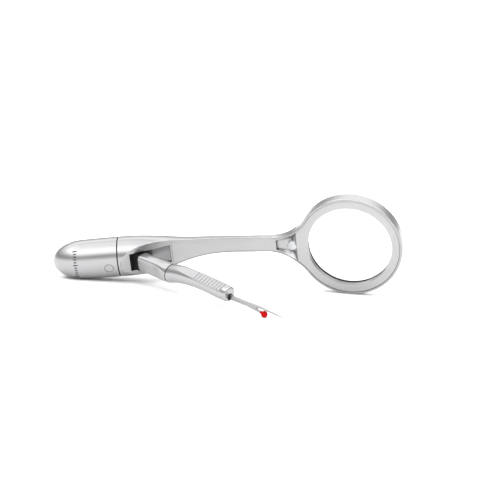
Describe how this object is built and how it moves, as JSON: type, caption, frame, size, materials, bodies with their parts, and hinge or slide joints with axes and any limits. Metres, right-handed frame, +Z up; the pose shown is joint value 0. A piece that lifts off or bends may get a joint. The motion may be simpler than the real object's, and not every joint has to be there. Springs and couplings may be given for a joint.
{
  "type": "lighted magnifier seam ripper",
  "caption": "Folding seam ripper with a forked blade and red safety ball, hinged to a bullet-shaped battery handle with a lamp and a round magnifying lens.",
  "frame": {"origin": "middle of the standing tool's bounding box, on the surface that it stands on", "axes": "+Z up from the surface, +X from the battery cap towards the lens ring, -Y towards the side that the ripper opens to"},
  "size_m": [0.1576, 0.0754, 0.047],
  "materials": {
    "satin_silver": "satin silver paint on moulded plastic",
    "cover_silver": "satin silver paint on moulded plastic",
    "clear_lens": "polished clear acrylic",
    "black_rubber": "matt",
    "lamp_clear": "clear moulded epoxy",
    "lead_frame": "silver plated",
    "board_green": "solder mask",
    "resistor_black": "moulded",
    "wire_red": "pvc insulation",
    "screw_steel": "zinc plated",
    "sleeve_plastic": "moulded",
    "contact_brass": "nickel plated",
    "cell_steel": "bright",
    "pin_steel": "ground",
    "washer_nylon": "natural",
    "black_plastic": "moulded",
    "blade_steel": "polished",
    "red_ball": "gloss"
  },
  "bodies": {
    "housing": {"rear_housing": "satin_silver", "front_cover": "cover_silver", "lens": "clear_lens", "lens_gasket": "black_rubber", "led_lamp": "lamp_clear", "led_lead_frame": "lead_frame", "led_circuit_board": "board_green", "resistor": "resistor_black", "lead_wires": "wire_red", "housing_screws": "screw_steel", "cap_seal_ring": "black_rubber", "battery_sleeve": "sleeve_plastic", "front_contact_plate": "contact_brass", "button_cell_1": "cell_steel", "button_cell_2": "cell_steel", "button_cell_3": "cell_steel", "hinge_pin": "pin_steel", "friction_washer_lower": "washer_nylon", "friction_washer_upper": "washer_nylon"},
    "cap": {"battery_cap": "satin_silver", "cap_contact_spring": "contact_brass"},
    "ripper_arm": {"hinge_knuckle": "black_plastic", "stub_sleeve": "satin_silver", "swivel_ring": "black_rubber", "handle_spigot": "pin_steel"},
    "ripper": {"ripper_handle": "satin_silver", "blade_collet": "black_plastic", "ripper_blade": "blade_steel", "safety_ball": "red_ball"}
  },
  "joints": [
    {"name": "cap_twist", "type": "hinge", "parent": "housing", "child": "cap", "pos_m": [-0.04832, 0.01616, 0.01119], "axis": [-0.9785, -0.1593, -0.1314], "range_deg": [0, 90]},
    {"name": "ripper_fold", "type": "hinge", "parent": "housing", "child": "ripper_arm", "pos_m": [-0.0414, 0.01444, 0.01124], "axis": [0.0795, 0.2963, -0.9518], "range_deg": [-33, 10]},
    {"name": "handle_swivel", "type": "hinge", "parent": "ripper_arm", "child": "ripper", "pos_m": [-0.0199, 0.00077, 0.00878], "axis": [0.84, -0.5341, -0.0961], "range_deg": [-180, 180]}
  ]
}
